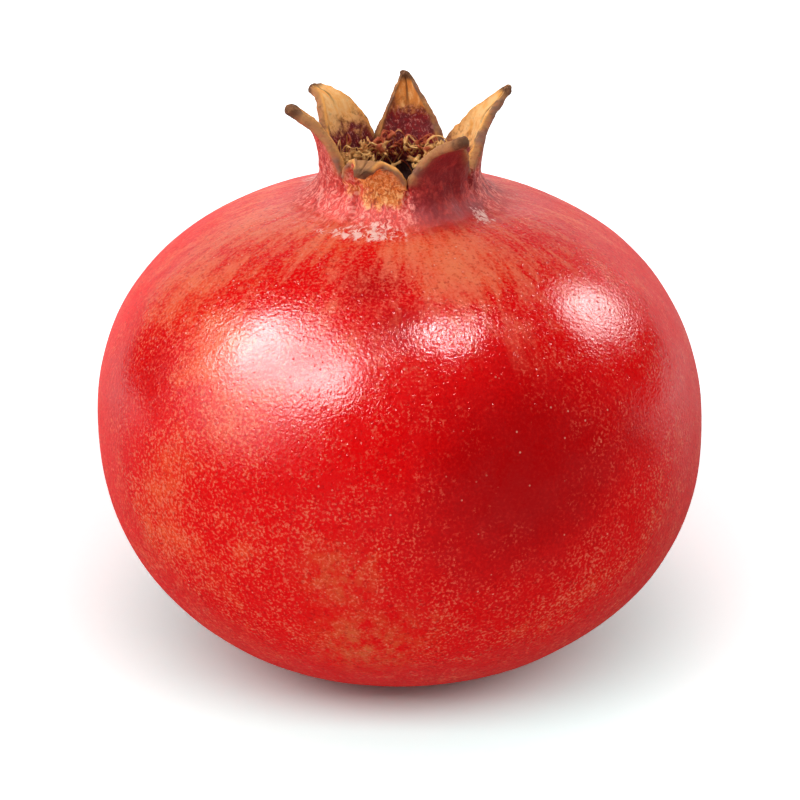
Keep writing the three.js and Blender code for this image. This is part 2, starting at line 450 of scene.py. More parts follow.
def new_material(name: str) -> tuple[bpy.types.Material, Graph]:
    """Makes an empty material with nodes.

    Args:
        name: the material's name.

    Returns:
        The material, and the graph of its nodes.
    """
    material = bpy.data.materials.new(name)
    material.use_nodes = True
    return material, Graph(material.node_tree)


# ---- the fruit's shape ----------------------------------------------------------------------------


@dataclass(frozen=True)
class Wave:
    """One low wave round the body."""

    count: int
    height: float  # as a share of the radius
    crest: float  # where it crests, in degrees


@dataclass(frozen=True)
class Body:
    """The round body: two fuller half-ellipses on a small flat ring round the stalk's dimple."""

    radius: float = 47.6
    equator: float = 38.4  # height of the widest place
    rise: float = 38.4  # from there up to the upper pole
    drop: float = 39.3  # and down to the lower pole, which the flat ring cuts off
    upper_fullness: float = 2.28  # 2 for an ellipse, more for a squarer curve
    lower_fullness: float = 2.1
    pole: float = 0.999  # how near a pole a patch may lie, as a share of the way
    flat_radius: float = 11.2  # outside of the flat ring
    dimple: tuple[tuple[float, float], ...] = (
        (0, 2.4), (1.8, 2.4), (3.1, 2.38), (3.6, 2.1), (4.1, 1.5), (4.6, 0.95), (5.2, 0.4), (5.7, 0.12),
        (6.4, 0), (8.0, 0), (9.7, 0),
    )
    waves: tuple[Wave, ...] = (
        Wave(1, 0.005, 180), Wave(2, 0.004, 90), Wave(3, 0.0055, 0), Wave(9, 0.0025, 282),
    )
    lean: float = 0.009  # how far the upper half leans over, as a share of the radius

    def top(self, radius: float) -> float:
        """Height of the upper half at a distance from the axis."""
        power = self.upper_fullness
        return self.equator + self.rise * (1 - (radius / self.radius) ** power) ** (1 / power)

    def bottom(self, radius: float) -> float:
        """Height of the lower half at a distance from the axis."""
        power = self.lower_fullness
        return self.equator - self.drop * (1 - (radius / self.radius) ** power) ** (1 / power)

    def radius_at(self, height: float) -> float:
        """How far from the axis the round body's skin is.

        Args:
            height: the height of the place.

        Returns:
            The distance, never quite 0.
        """
        upper = height > self.equator
        reach, power = (self.rise, self.upper_fullness) if upper else (self.drop, self.lower_fullness)
        share = min(abs(height - self.equator) / reach, self.pole)
        return self.radius * (1 - share**power) ** (1 / power)

    def lobed(self, point: Vector, shoulder: float) -> Vector:
        """Adds the low waves and the lean, which fade out at the foot and at the neck.

        Args:
            point: a point of the round body.
            shoulder: the radius at which the neck begins.

        Returns:
            The moved point.
        """
        height = min(max(point.z / self.top(shoulder), 0.0), 1.0)
        angle = math.atan2(point.y, point.x)
        scale = 1 + self.lean * math.cos(angle) * math.sin(math.tau * height)
        for wave in self.waves:
            turn = wave.count * (angle - math.radians(wave.crest))
            scale += wave.height * math.sin(math.pi * height) * math.cos(turn)
        return Vector((point.x * scale, point.y * scale, point.z))


@dataclass(frozen=True)
class Neck:
    """The tube of the calyx, from where the shoulder turns up to the rim it splits at."""

    shoulder: float = 18.0  # radius at which it leaves the body
    waist: float = 12.3  # radius of the tube
    rim: float = 80.3  # height of the rim
    wall: float = 1.9
    pull: float = 3.2  # how far inwards it still follows the body
    swell: float = 1.4  # how far over the body it turns upright
    floor: float = 72.6  # height of the throat's floor
    floor_radius: float = 4.6
    drop: float = 4.0  # how far down the throat's wall stays upright

    @property
    def inner(self) -> float:
        """Radius of the throat at the rim."""
        return self.waist - self.wall

    @property
    def middle(self) -> float:
        """Radius of the middle of the wall."""
        return self.waist - self.wall / 2


@dataclass(frozen=True)
class Lobe:
    """One lobe of the calyx; its midline is [outwards, upwards] from the rim."""

    span: int  # degrees of the rim
    midline: tuple[tuple[float, float], ...]
    sway: float  # how far the tip stands aside
    hook: float = 0.0  # how far its edges curl over
    taper: float = 1.45  # more for a lobe that narrows sooner
    warmth: float = 0.3  # from crimson to golden on the outside
    # a paler inside is partly painted light: it takes more of the tan and straw, which stand in for light
    # through the lobe
    glow: float = 0.5  # from dark to pale on the inside
    knob: float = 0.6  # half-width of the blunt tip
    stout: float = 1.15  # how much thicker the tip is


@dataclass(frozen=True)
class Fold:
    """A fold that runs up the neck."""

    angle: float  # degrees
    depth: float
    width: float


@dataclass(frozen=True)
class Lumps:
    """Soft lumps of one size."""

    height: float
    size: float

    def at(self, point: Vector) -> float:
        """How far they stand out at a point."""
        return self.height * noise.noise(point / self.size)


@dataclass(frozen=True)
class Pleats:
    """Soft pleats that run up a wall round the axis."""

    height: float
    crowding: float  # how closely they stand
    wander: float  # how much they change from one millimetre up to the next
    start: tuple[float, float] = (0, 0)  # keeps one set apart from another

    def at(self, point: Vector) -> float:
        """How far they stand out at a point."""
        place = heading_from_axis(point) * self.crowding + Vector((*self.start, point.z * self.wander))
        return self.height * noise.noise(place)


class Part(Enum):
    """Which surface of the fruit a point lies on; a new point is on the skin."""

    SKIN = 0
    THROAT = 1
    LOBE = 2


@dataclass
class Fruit:
    """The body, the neck and the lobes of the calyx, grown as one piece."""

    body: Body = field(default_factory=Body)
    neck: Neck = field(default_factory=Neck)
    first_slit: float = 275.0
    lobes: tuple[Lobe, ...] = (
        Lobe(55, ((0.4, 3.2), (2.3, 6.4), (6.1, 8.1)), -0.3, 0.5, warmth=0.05),
        Lobe(
            85, ((0.6, 3.6), (2.1, 7.4), (5.6, 11.0)), 0.4,
            warmth=0.28, glow=0.8, knob=0.45, stout=0.85,
        ),
        Lobe(
            55, ((0.3, 3.7), (0.9, 7.4), (1.6, 10.9)), 0.9, 0.0, 1.25,
            warmth=0.3, glow=0.3, knob=0.35, stout=0.9,
        ),
        Lobe(60, ((0.4, 3.9), (1.6, 7.0), (3.6, 8.9), (6.0, 9.1)), 0.0, 0.3, 1.8, warmth=0.3, glow=0.75),
        Lobe(55, ((0.6, 4.2), (2.2, 7.6), (5.8, 10.3)), 0.2, 0.2, warmth=0.4, knob=0.55, stout=1.3),
        Lobe(50, ((0.6, 2.9), (2.0, 4.5), (3.9, 3.1)), -0.5, 0.6, warmth=0.95, glow=0.1),
    )
    slope: float = 0.4  # how much of the narrowing is even
    thin: float = 0.74  # thickness of a lobe's edges, as a share of the wall
    hollow: float = 0.34  # how much thinner its middle is than its edges
    flatten: float = 0.5  # how much flatter than the tube it is at its tip
    edge_round: float = 0.36  # how far its edges are rounded, as a share of its thickness
    underside_rows: int = 38
    shoulder_rows: int = 36
    neck_rows: int = 32
    throat_rows: int = 22
    lobe_rows: int = 38
    tip_rows: int = 4
    edge_faces: int = 6
    round_steps: int = 360
    tip_reach: float = 0.95  # how far a tip is drawn out, as a share of half its thickness
    near_tip: float = 0.97  # where the tip's heading is measured from, as a share of the lobe
    throat_tint: float = 0.3
    foot: tuple[float, float] = (1.0, 9.0)  # heights over which the skin's swells begin
    pleats_over: float = 0.5  # how far under the shoulder's edge the pleats begin
    pleats_under: float = 2.6  # how far under the rim they are full
    calm: float = 0.6  # how much calmer the lobes' tips are
    folds: tuple[Fold, ...] = (Fold(240, 0.42, 0.55), Fold(312, 0.2, 0.6), Fold(205, 0.22, 0.6))
    crease_depth: float = 0.8  # under each slit
    crease_width: float = 0.34
    crease_length: tuple[float, float] = (3.4, 0.4)  # how far under the rim it begins and is full
    swells: tuple[Lumps, ...] = (Lumps(0.16, 17), Lumps(0.07, 6.5))  # on the body's skin
    crinkles: tuple[Lumps, ...] = (Lumps(0.6, 0.75), Lumps(0.4, 0.38))  # as shares of a crinkle
    crinkle_outside: float = 0.15
    crinkle_inside: float = 0.2
    crinkle_throat: float = 0.22
    throat_pleats: Pleats = Pleats(0.3, 6, 0.15)
    neck_pleats: tuple[Pleats, ...] = (Pleats(0.26, 5.5, 0.06, (3, 1)), Pleats(0.12, 14, 0.12, (7, 5)))
    lobe_lumps: Lumps = Lumps(0.13, 2.2)
    edge_lumps: Lumps = Lumps(0.15, 1.0)
    tip_lumps: Lumps = Lumps(0.2, 1.1)
    groove_depth: float = 0.22  # down the middle of each lobe's inside
    groove_width: float = 0.12  # as a share of half the lobe

    def outside(self) -> list[Vector]:
        """The profile from the dimple round the body and up the neck to the rim.

        Returns:
            Its points, each with the radius and the height.
        """
        body, neck = self.body, self.neck
        points = [Vector(point) for point in body.dimple]
        lowest = math.acos(body.flat_radius / body.radius)
        for row in range(self.underside_rows):
            radius = body.radius * math.cos(lowest * (1 - row / self.underside_rows))
            points.append(Vector((radius, max(body.bottom(radius), 0.0))))
        highest = math.acos(neck.shoulder / body.radius)
        for row in range(self.shoulder_rows):
            radius = body.radius * math.cos(highest * row / self.shoulder_rows)
            points.append(Vector((radius, body.top(radius))))
        corners = (
            Vector((neck.shoulder, body.top(neck.shoulder))),
            Vector((neck.shoulder - neck.pull, body.top(neck.shoulder - neck.pull))),
            Vector((neck.waist, body.top(neck.waist) + neck.swell)),
            Vector((neck.waist, neck.rim)),
        )
        rows = self.neck_rows
        return points + [bezier(corners, row / rows) for row in range(rows + 1)]

    def throat(self) -> list[Vector]:
        """The profile from the rim down the throat's wall and in to the axis.

        Returns:
            Its points, each with the radius and the height.
        """
        neck = self.neck
        corners = (
            Vector((neck.inner, neck.rim)),
            Vector((neck.inner, neck.rim - neck.drop)),
            Vector((neck.inner, neck.floor)),
            Vector((neck.floor_radius, neck.floor)),
        )
        rows = self.throat_rows
        wall = [bezier(corners, row / rows) for row in range(rows + 1)]
        return wall + [Vector((neck.floor_radius * share, neck.floor)) for share in (0.7, 0.4, 0.0)]

    def section(self, lobe: Lobe, column: int) -> tuple[float, float]:
        """Where a column lies on a lobe's closed section.

        Args:
            lobe: the lobe.
            column: counts round the section, from one edge along the outside and back inside.

        Returns:
            The side from -1 to 1, and the depth from -0.5 outside to 0.5 inside.
        """
        span, edge = lobe.span, self.edge_faces
        column %= 2 * (span + edge)
        if column <= span:
            return 2 * column / span - 1, -0.5
        if column <= span + edge:
            return 1.0, (column - span) / edge - 0.5
        if column <= 2 * span + edge:
            return 1 - 2 * (column - span - edge) / span, 0.5
        return -1.0, 0.5 - (column - 2 * span - edge) / edge

    def on_lobe(self, lobe: Lobe, slit: float, side: float, depth: float, up: float) -> Vector:
        """Where a point of a lobe lies.

        Args:
            lobe: the lobe.
            slit: the angle of the slit before it, in degrees.
            side: from -1 to 1 round the tube.
            depth: from -0.5 outside to 0.5 inside.
            up: from 0 at the rim to 1 at the tip.

        Returns:
            The point.
        """
        neck, half = self.neck, math.radians(lobe.span / 2)
        path = [Vector((neck.middle, neck.rim - 1)), Vector((neck.middle, neck.rim))]
        path += [Vector((neck.middle + out, neck.rim + rise)) for out, rise in lobe.midline]
        share = blend(1 / (len(path) - 1), 1, up)
        centre = along_spline(path, share)
        heading = Vector((0, 1)) if up == 0 else heading_on(path, share)

        bulge = math.cos(up * math.pi / 2) ** lobe.taper
        narrowing = blend(lobe.knob / (neck.middle * math.sin(half)), 1, blend(bulge, 1 - up, self.slope))
        curl = neck.middle * (1 + self.flatten * up) if up else neck.middle
        spread = math.asin(neck.middle * math.sin(half) * narrowing / curl)
        thickness = neck.wall * blend(1, self.thin, smooth(up, 0, 0.45))
        thickness *= blend(1, lobe.stout, smooth(up, 0.45, 0.95))
        rounding = self.edge_round * thickness * math.sqrt(1 - 4 * depth * depth) * smooth(up, 0, 0.16)
        edge = math.copysign(rounding, side) if abs(side) == 1 else 0.0
        hollow = self.hollow * (1 - side**4) * smooth(up, 0.03, 0.4) * smooth(1 - up, 0, 0.2)
        radius = curl - (min(depth, 0.5 - hollow) * thickness)

        sideways = radius * math.sin(spread * side) + edge + lobe.sway * up * up
        inwards = curl - radius * math.cos(spread * side)
        hooked = lobe.hook * side * side * up * (1 - up) * 4
        outwards = centre.x + (hooked - inwards) * heading.y
        height = centre.y - (hooked - inwards) * heading.x
        middle = math.radians(slit) + half
        return Vector((
            outwards * math.cos(middle) - sideways * math.sin(middle),
            outwards * math.sin(middle) + sideways * math.cos(middle),
            height,
        ))

    def add_lobe(self, mesh: bmesh.types.BMesh, lobe: Lobe, slit: float, layers: dict[str, Any]) -> None:
        """Adds one lobe, closed at its tip by a blunt knob.

        Args:
            mesh: the fruit's mesh.
            lobe: the lobe.
            slit: the angle of the slit before it, in degrees.
            layers: the mesh's layers of numbers.
        """
        around = 2 * (lobe.span + self.edge_faces)
        sections = [self.section(lobe, column) for column in range(around)]
        ring = [self.on_lobe(lobe, slit, *section, 1.0) for section in sections]
        below = [self.on_lobe(lobe, slit, *section, self.near_tip) for section in sections]
        centre = sum(ring, Vector()) / around
        ahead = (centre - sum(below, Vector()) / around).normalized()
        reach = self.tip_reach * self.neck.wall * self.thin * lobe.stout / 2

        def place(column: int, row: int) -> Vector:
            """The place of a point on the lobe or on its knob.

            Args:
                column: counts round the lobe's section.
                row: counts up the lobe and then over the knob.

            Returns:
                The place.
            """
            column %= around
            if row <= self.lobe_rows:
                return self.on_lobe(lobe, slit, *self.section(lobe, column), row / self.lobe_rows)
            turn = math.pi / 2 * (row - self.lobe_rows) / self.tip_rows
            return centre + (ring[column] - centre) * math.cos(turn) + ahead * reach * math.sin(turn)

        def mark(vert: bmesh.types.BMVert, column: int, row: int) -> None:
            """Writes how far up, how far in and how far aside a point lies, and its tint.

            Args:
                vert: the point.
                column: counts round the lobe's section.
                row: counts up the lobe and then over the knob.
            """
            side, depth = self.section(lobe, column)
            up = min(row / self.lobe_rows, 1.0)
            tint = lobe.warmth if depth < 0.5 else lobe.glow
            vert[layers["part"]] = Part.LOBE.value
            vert[layers["growth"]] = (up, depth + 0.5, abs(side), tint)

        add_sheet(mesh, around, self.lobe_rows + self.tip_rows, place, mark)

    def slits(self) -> list[float]:
        """Where the rim is split between the lobes.

        Returns:
            The angle of the slit before each lobe, in degrees.
        """
        angles = [self.first_slit]
        for lobe in self.lobes[:-1]:
            angles.append(angles[-1] + lobe.span)
        return [angle % 360 for angle in angles]

    def warmth_at(self, angle: float) -> float:
        """How golden the neck is at an angle, blended from lobe to lobe.

        Args:
            angle: degrees round the fruit.

        Returns:
            The warmth, from 0 for crimson to 1 for golden.
        """
        total = weight = 0.0
        for lobe, slit in zip(self.lobes, self.slits()):
            near = hump(turn_between(angle, slit + lobe.span / 2), lobe.span / 3)
            total, weight = total + near * lobe.warmth, weight + near
        return total / weight

    def relief(self, point: Vector, part: Part, up: float, inside: float, side: float) -> float:
        """How far the surface stands out from the plain shape at a point, in millimetres.

        Args:
            point: the point on the plain shape.
            part: the surface that it lies on.
            up: how far up a lobe it is.
            inside: 0 outside and 1 inside.
            side: from 0 in the middle of a lobe to 1 at its edge.

        Returns:
            The height of the relief.
        """
        crinkle = sum(lumps.at(point) for lumps in self.crinkles)
        if part is Part.THROAT:
            return self.throat_relief(point, crinkle)
        neck, height = 1.0, 0.0
        if part is Part.SKIN:
            edge = self.body.top(self.neck.shoulder) - self.pleats_over
            neck = smooth(point.z, edge, self.neck.rim - self.pleats_under)
            over_foot = smooth(point.z, *self.foot)
            height = over_foot * (1 - neck) * sum(lumps.at(point) for lumps in self.swells)
        if neck == 0:
            return height
        calm = 1 - self.calm * smooth(up, 0.2, 0.9)
        pleats = sum(pleats.at(point) for pleats in self.neck_pleats)
        height += neck * calm * pleats * (0.5 + 0.5 * (1 - inside))
        height += neck * calm * crinkle * blend(self.crinkle_outside, self.crinkle_inside, inside)
        if part is Part.LOBE:
            height += self.lobe_relief(point, up, inside, side)
        if part is Part.SKIN:
            height -= self.crease_at(point)
        if inside < 0.5:
            height -= self.fold_at(point) * neck * (1 - smooth(up, 0.5, 0.9))
        return height

    def throat_relief(self, point: Vector, crinkle: float) -> float:
        """How far the throat's pleats and crinkles stand out.

        Args:
            point: a point on the throat's wall or floor.
            crinkle: the crinkle at the point, about 0.

        Returns:
            The height, in millimetres.
        """
        radius = math.hypot(point.x, point.y)
        fade = smooth(radius, 2, 8) * smooth(self.neck.rim - point.z, 0, 1.5)
        return (self.throat_pleats.at(point) + self.crinkle_throat * crinkle) * fade

    def lobe_relief(self, point: Vector, up: float, inside: float, side: float) -> float:
        """How far a lobe's lumps stand out, less the groove down its middle.

        Args:
            point: a point on the lobe.
            up: from 0 at the rim to 1 at the tip.
            inside: 0 outside and 1 inside.
            side: from 0 in the middle to 1 at the edge.

        Returns:
            The height, in millimetres.
        """
        height = self.lobe_lumps.at(point) * smooth(up, 0, 0.3)
        height += side**6 * self.edge_lumps.at(point) * smooth(up, 0, 0.2)
        height += smooth(up, 0.8, 1) * self.tip_lumps.at(point)
        groove = self.groove_depth * inside * hump(side, self.groove_width)
        return height - groove * smooth(up, 0.4, 0.8) * smooth(1 - up, 0, 0.1)

    def away_from(self, point: Vector, angle: float) -> float:
        """How far a point is from a line up the neck at an angle, in millimetres round it."""
        return math.radians(turn_between(degrees_round(point), angle)) * math.hypot(point.x, point.y)

    def crease_at(self, point: Vector) -> float:
        """How deep the creases under the slits are.

        Args:
            point: a point on the neck.

        Returns:
            The depth, in millimetres.
        """
        begin, full = (self.neck.rim - below for below in self.crease_length)
        creases = sum(hump(self.away_from(point, slit), self.crease_width) for slit in self.slits())
        return self.crease_depth * smooth(point.z, begin, full) * creases

    def fold_at(self, point: Vector) -> float:
        """How deep the neck's folds are at a point."""
        return sum(fold.depth * hump(self.away_from(point, fold.angle), fold.width) for fold in self.folds)

    def build(self) -> bpy.types.Object:
        """Makes the fruit's mesh.

        Returns:
            The piece, whose attribute "growth" holds how far up, inside and aside on the calyx a point
            is, and its tint.
        """
        mesh = bmesh.new()
        growth = mesh.verts.layers.float_color.new("growth")
        layers = {"part": mesh.verts.layers.int.new("part"), "growth": growth}
        start = math.radians(self.first_slit)
        for vert in add_turned(mesh, self.outside(), self.round_steps, start):
            vert.co = self.body.lobed(vert.co, self.neck.shoulder)
            vert[growth] = (0.0, 0.0, 0.0, self.warmth_at(degrees_round(vert.co)))
        for vert in add_turned(mesh, self.throat(), self.round_steps, start):
            vert[layers["part"]] = Part.THROAT.value
            vert[growth] = (0.0, 1.0, 0.0, self.throat_tint)
        for lobe, slit in zip(self.lobes, self.slits()):
            self.add_lobe(mesh, lobe, slit, layers)
        bmesh.ops.remove_doubles(mesh, verts=mesh.verts, dist=WELD)
        bmesh.ops.recalc_face_normals(mesh, faces=mesh.faces)
        mesh.normal_update()
        moved = []
        for vert in mesh.verts:
            up, inside, side, _ = vert[growth]
            height = self.relief(vert.co, Part(vert[layers["part"]]), up, inside, side)
            moved.append(vert.co + vert.normal * height)
        for vert, place in zip(mesh.verts, moved):
            vert.co = place
        return finish_mesh(mesh, "pomegranate_fruit")

    def dressed(self) -> list[bpy.types.Object]:
        """Makes the fruit in its rind."""
        return [dress(self.build(), RindFinish(self.body, self.neck).material(), ["fruit"])]


# ---- the fruit's skin -----------------------------------------------------------------------------


@dataclass(frozen=True)
class Blotch:
    """A soft patch of another colour on the body."""

    angle: float  # degrees
    height: float  # millimetres
    size: float
    strength: float

    def centre(self, body: Body) -> Vector:
        """The middle of the patch on the round body, in millimetres."""
        return towards(self.angle, 0) * body.radius_at(self.height) + Vector((0, 0, self.height))


class RindPattern:
    """The place, the marks of growth and the shared noises at each point of the fruit."""

    def __init__(self, graph: Graph, finish: "RindFinish") -> None:
        """Adds the nodes that several of the rind's colours share.

        Args:
            graph: the material's nodes.
            finish: the rind's finish, for its sizes.
        """
        self.graph = graph
        self.place = graph.place_mm()
        x, y, self.z = graph.axes(self.place)
        flat = graph.joined(x, y, 0.0)
        heading = graph.add("VectorMath", {"operation": "NORMALIZE"}, {0: flat})
        self.side_x, self.side_y, _ = graph.axes(heading)
        slope = {0: self.z - finish.body.equator, 1: graph.length(flat)}
        self.climb = graph.add("Math", {"operation": "ARCTAN2"}, slope) * finish.body.radius

        marks = {"attribute_name": "growth"}
        growth, self.tint = graph.several("Attribute", marks, None, ("Vector", "Alpha"))
        self.up, self.inside, self.side = graph.axes(growth)

        neck_x, neck_y = self.side_x * finish.neck_grain, self.side_y * finish.neck_grain
        self.fibres = graph.noise(graph.joined(neck_x, neck_y, self.z * 0.25), 0.9, 4, 0.65)
        self.blots = graph.noise(self.place, 2.2, 4, 0.65)
        self.veins = graph.noise(self.place, 1.1, 4, 0.7)
        self.broad = graph.noise(self.place, 4.0, 2)
        bent = graph.noise(self.place, 1.4, 1) * 1.5
        curled = graph.joined(neck_x + bent, neck_y - bent, self.z * 0.6)
        self.hair = graph.noise(curled, 0.36, 2, 0.6)
        self.on_neck = graph.rise(self.z + swing(self.blots, 2.0) + self.inside * 20, *finish.foot)

    def unrolled(self, radius: float, stretch: float) -> Value:
        """The place on the skin, for a grain that is drawn out on the way up by stretch."""
        return self.graph.joined(self.side_x * radius, self.side_y * radius, self.climb * (1 / stretch))


@dataclass(frozen=True)
class RindFinish:
    """Waxy red skin with orange blushes, pale flecks and fine wrinkles; a dry, leathery calyx."""

    body: Body = Body()
    neck: Neck = Neck()
    red: Colour = (0.78, 0.0015, 0.0025)
    deep: Colour = (0.45, 0.001, 0.002)
    orange: Colour = (0.86, 0.105, 0.03)
    gold: Colour = (0.84, 0.27, 0.055)
    pale: Colour = (0.88, 0.19, 0.11)
    dot: Colour = (0.86, 0.50, 0.36)
    olive: Colour = (0.62, 0.20, 0.06)
    crimson: Colour = (0.25, 0.004, 0.007)
    scarlet: Colour = (0.64, 0.045, 0.03)
    blush: Colour = (0.86, 0.34, 0.28)
    # pale frost with a painted sheen on it, round the neck's foot
    frost_and_sheen: Colour = (0.95, 0.64, 0.56)
    amber: Colour = (0.74, 0.2, 0.025)
    wine: Colour = (0.13, 0.008, 0.012)
    sienna: Colour = (0.78, 0.26, 0.05)
    # painted light as well as colour: tan and straw are paler than the dried calyx is, to stand in for
    # light shining through the thin lobes
    tan: Colour = (0.94, 0.42, 0.1)
    straw: Colour = (1.0, 0.58, 0.24)
    rim: Colour = (0.42, 0.185, 0.07)
    ashen: Colour = (0.2, 0.1, 0.07)
    knob: Colour = (0.13, 0.05, 0.02)
    # painted shade: near black for the depths of the throat
    hollow: Colour = (0.02, 0.003, 0.002)
    shoulder: tuple[float, float] = (58.0, 76.0)  # heights over which the skin turns streaked and warm
    foot: tuple[float, float] = (74.2, 76.6)  # heights over which the skin turns into the calyx
    frost_and_sheen_line: tuple[float, float] = (74.2, 74.7)  # heights over which the frost begins
    neck_grain: float = 12.0  # radius at which the calyx's fibres are laid
    streak_grain: float = 34.0  # radius at which the shoulder's streaks are laid
    streak_stretch: float = 1 / 0.22
    mottle_stretch: float = 1.2
    dot_spacing: float = 1.7
    pit_spacing: float = 1.05
    refraction: float = 1.5
    warm_spots: tuple[Blotch, ...] = (
        Blotch(227, 62, 8, 0.95),
        Blotch(237, 56, 7, 0.6),
        Blotch(208, 66, 10, 0.6),
        Blotch(195, 72, 8, 0.5),
        Blotch(226, 46, 8, 0.4),
        Blotch(220, 35, 12, 0.5),
        Blotch(247, 37, 8, 0.3),
        Blotch(286, 73, 9, 1.0),
        Blotch(238, 74, 6, 0.6),
        Blotch(305, 30, 10, 0.35),
        Blotch(225, 75, 8, 0.6),
        Blotch(306, 54, 5, 0.35),
    )
    deep_red_and_shade_spots: tuple[Blotch, ...] = (
        # partly painted shade: this large patch darkens the front right where the body is turned away from
        # the lamps, as well as being deeper red
        Blotch(293, 48, 19, 1.0),
        Blotch(274, 52, 10, 0.35),
        Blotch(214, 56, 8, 0.35),
        Blotch(205, 52, 9, 0.3),
        Blotch(262, 71, 6, 0.6),
        Blotch(318, 50, 9, 0.45),
        Blotch(269, 67, 6, 0.6),
    )
    olive_spots: tuple[Blotch, ...] = (
        Blotch(259, 33, 6, 0.45),
        Blotch(263, 20, 8, 0.65),
        Blotch(268, 22, 7, 0.35),
    )
    # patches of pale frost and painted sheen round the neck's foot
    frost_and_sheen_spots: tuple[Blotch, ...] = (
        Blotch(237, 74.6, 3.5, 0.6),
        Blotch(247, 74.9, 4, 0.8),
        Blotch(258, 75.0, 4, 0.8),
        Blotch(268, 75.0, 3, 0.4),
        Blotch(320, 75.4, 2.4, 0.75),
        Blotch(60, 75.0, 4, 0.6),
        Blotch(140, 75.0, 4, 0.6),
    )

    def patches(self, graph: Graph, place: Value, blotches: Sequence[Blotch]) -> Value:
        """The strongest of several soft patches at each point.

        Args:
            graph: the material's nodes.
            place: the point, in millimetres.
            blotches: the patches.

        Returns:
            The strength, from 0 to 1.
        """
        total: Value | None = None
        for blotch in blotches:
            away = graph.length(graph.vector("SUBTRACT", place, tuple(blotch.centre(self.body))))
            near = graph.rise(away, blotch.size * 1.5, 0.0, 0.0, blotch.strength)
            total = near if total is None else graph.larger(total, near)
        return total

    def skin(self, graph: Graph, at: RindPattern) -> Value:
        """Mixes the colour of the body.

        Args:
            graph: the material's nodes.
            at: the pattern at each point.

        Returns:
            The colour.
        """
        warped = graph.noise(at.place, 6.0, 3, 0.6)
        clouds = graph.noise(at.place, 22.0, 3, 0.55)
        streaks = graph.noise(at.unrolled(self.streak_grain, self.streak_stretch), 2.4, 4, 0.65)
        mottle = graph.noise(at.unrolled(self.body.radius, self.mottle_stretch), 2.4, 4, 0.7)
        flecks = graph.noise(at.place, 0.45, 2, 0.55)
        shadows = graph.noise(graph.vector("ADD", at.place, (40.0, 0.0, 0.0)), 0.6, 3, 0.6)
        warm = self.patches(graph, at.place, self.warm_spots)
        # deeper red patches, partly painted shade
        deep = self.patches(graph, at.place, self.deep_red_and_shade_spots)
        olive = self.patches(graph, at.place, self.olive_spots)
        shoulder = graph.rise(at.z, *self.shoulder)
        warmth = (
            warm * 0.75 + shoulder * 0.2 + swing(clouds, 0.8) + swing(warped, 1.2)
            + swing(streaks, shoulder * 1.6 + 0.3) + swing(mottle, 1.0) - deep * 0.9 - 0.05
        )
        # darker where the patches lie, partly as painted shade
        darkness = graph.rise(deep + swing(clouds, 0.8) - swing(flecks, 0.8), 0.0, 1.0)
        skin = graph.mix(self.red, self.deep, darkness)
        skin = graph.mix(skin, self.orange, graph.rise(warmth + swing(flecks, 0.7), 0.0, 0.8, 0.0, 0.85))
        skin = graph.mix(skin, self.gold, graph.rise(warmth + swing(flecks, 1.0), 0.6, 1.35, 0.0, 0.6))
        skin = graph.mix(skin, self.olive, olive * graph.rise(mottle, 0.35, 0.7))
        dense = graph.rise(warmth + swing(mottle, 1.5) + shoulder * 0.7, -0.7, 0.6, 0.015, 0.78)
        grainy = graph.rise(flecks + warm * 0.07 + shoulder * 0.03, 0.5, 0.66) * dense
        blushed = graph.rise(streaks + swing(mottle, 0.5) + swing(clouds, 0.6) + warm * 0.08, 0.46, 0.74)
        skin = graph.mix(skin, self.pale, blushed * graph.rise(at.z, 58.0, 73.0, 0.0, 0.55))
        skin = graph.mix(skin, self.pale, grainy * graph.rise(at.z, 55.0, 70.0, 1.0, 0.5))
        skin = graph.mix(skin, self.deep, graph.rise(shadows, 0.52, 0.72, 0.0, 0.6))
        dots = graph.rise(graph.cells(at.place, self.dot_spacing), 0.12, 0.05)
        rare = graph.rise(graph.noise(at.place, 3.1, 1), 0.45, 0.6)
        return graph.mix(skin, self.dot, dots * rare * 0.5)

    def outside(self, graph: Graph, at: RindPattern) -> Value:
        """Mixes the colour of the calyx's outside: crimson to golden, with a painted sheen on its hairs,
        and brown at the tips.

        Args:
            graph: the material's nodes.
            at: the pattern at each point.

        Returns:
            The colour.
        """
        golden = at.tint + graph.rise(at.side_x, -0.6, -0.25, -0.35, 0.05)
        golden = golden + graph.rise(at.z, 76.0, 80.0, -0.5, 0.05)
        varied = golden + swing(at.fibres, 0.6) + swing(at.blots, 1.2) + swing(at.broad, 1.0)
        gilt = graph.rise(varied, 0.5, 0.9)
        outer = graph.mix(self.crimson, self.scarlet, graph.rise(at.blots + at.tint * 0.7, 0.5, 0.85))
        outer = graph.mix(outer, self.amber, gilt)
        outer = graph.mix(outer, self.crimson, graph.rise(at.hair, 0.46, 0.36, 0.0, 0.6))
        outer = graph.mix(outer, self.wine, graph.rise(at.veins + at.up * 0.25, 0.62, 0.75, 0.0, 0.5))
        flushed = graph.rise(at.tint + swing(at.blots, 0.3), 0.08, 0.32, 0.1, 1.0)
        # painted sheen: the hairs take a paler, lit copy of the outside's colours, most near the rim
        lit = graph.mix(graph.mix(self.scarlet, self.blush, flushed), self.straw, gilt)
        sheen_on_fuzz = graph.rise(at.hair + swing(at.veins, 0.5), 0.48, 0.62)
        sheen_on_fuzz = sheen_on_fuzz * graph.rise(at.tint, 0.03, 0.28, 0.3, 1.0)
        outer = graph.mix(outer, lit, sheen_on_fuzz * graph.rise(at.up, 0.0, 0.75, 0.7, 0.3))
        return graph.mix(outer, self.rim, graph.rise(at.up + swing(at.blots, 0.5), 0.6, 1.0))

